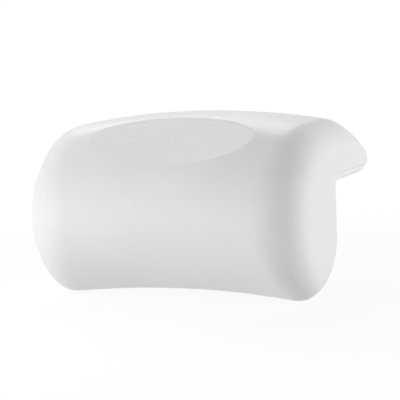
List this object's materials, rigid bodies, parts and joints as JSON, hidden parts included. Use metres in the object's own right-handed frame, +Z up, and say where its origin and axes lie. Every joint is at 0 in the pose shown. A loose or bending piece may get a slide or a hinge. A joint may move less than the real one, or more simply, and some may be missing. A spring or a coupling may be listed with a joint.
{
  "type": "bath pillow",
  "caption": "White moulded-foam bath pillow with a bulging front, a hollowed oval head pad and a lip that hooks over a bath rim, held by press-in suction cups.",
  "frame": {"origin": "middle of the lip's underside, where the pillow sits on the bath's rim", "axes": "+X along the width, -Y towards the front where the head lies, +Z up"},
  "size_m": [0.28, 0.1956, 0.1691],
  "materials": {
    "skin": "satin white moulded polyurethane skin with a fine even grain",
    "foam": "open soft polyurethane foam",
    "pad": "matt white soft pad with a fine leather-like grain",
    "plate": "satin white moulded plastic",
    "bush": "light grey moulded plastic",
    "cup": "smooth pale grey soft rubber",
    "steel": "plain stainless steel"
  },
  "bodies": {
    "pillow": {"outer_skin": "skin", "foam_core": "foam", "head_pad": "pad", "lip_plate": "plate", "back_plate": "plate", "bracket_left": "steel", "bracket_right": "steel", "screw_lip_left_1": "steel", "screw_lip_left_2": "steel", "screw_back_left_1": "steel", "screw_back_left_2": "steel", "screw_lip_right_1": "steel", "screw_lip_right_2": "steel", "screw_back_right_1": "steel", "screw_back_right_2": "steel", "bush_lip_left": "bush", "bush_back_left": "bush", "bush_lip_right": "bush", "bush_back_right": "bush"},
    "lip_cup_left": {"cup_lip_left": "cup"},
    "lip_cup_right": {"cup_lip_right": "cup"},
    "back_cup_left": {"cup_back_left": "cup"},
    "back_cup_right": {"cup_back_right": "cup"}
  },
  "joints": [
    {"name": "press_lip_left", "type": "slide", "parent": "pillow", "child": "lip_cup_left", "axis": [0, 0, 1], "range_m": [0, 0.0025], "stiffness_N_per_m": 300},
    {"name": "press_lip_right", "type": "slide", "parent": "pillow", "child": "lip_cup_right", "axis": [0, 0, 1], "range_m": [0, 0.0025], "stiffness_N_per_m": 300},
    {"name": "press_back_left", "type": "slide", "parent": "pillow", "child": "back_cup_left", "axis": [0, -1, 0], "range_m": [0, 0.0025], "stiffness_N_per_m": 300},
    {"name": "press_back_right", "type": "slide", "parent": "pillow", "child": "back_cup_right", "axis": [0, -1, 0], "range_m": [0, 0.0025], "stiffness_N_per_m": 300}
  ]
}
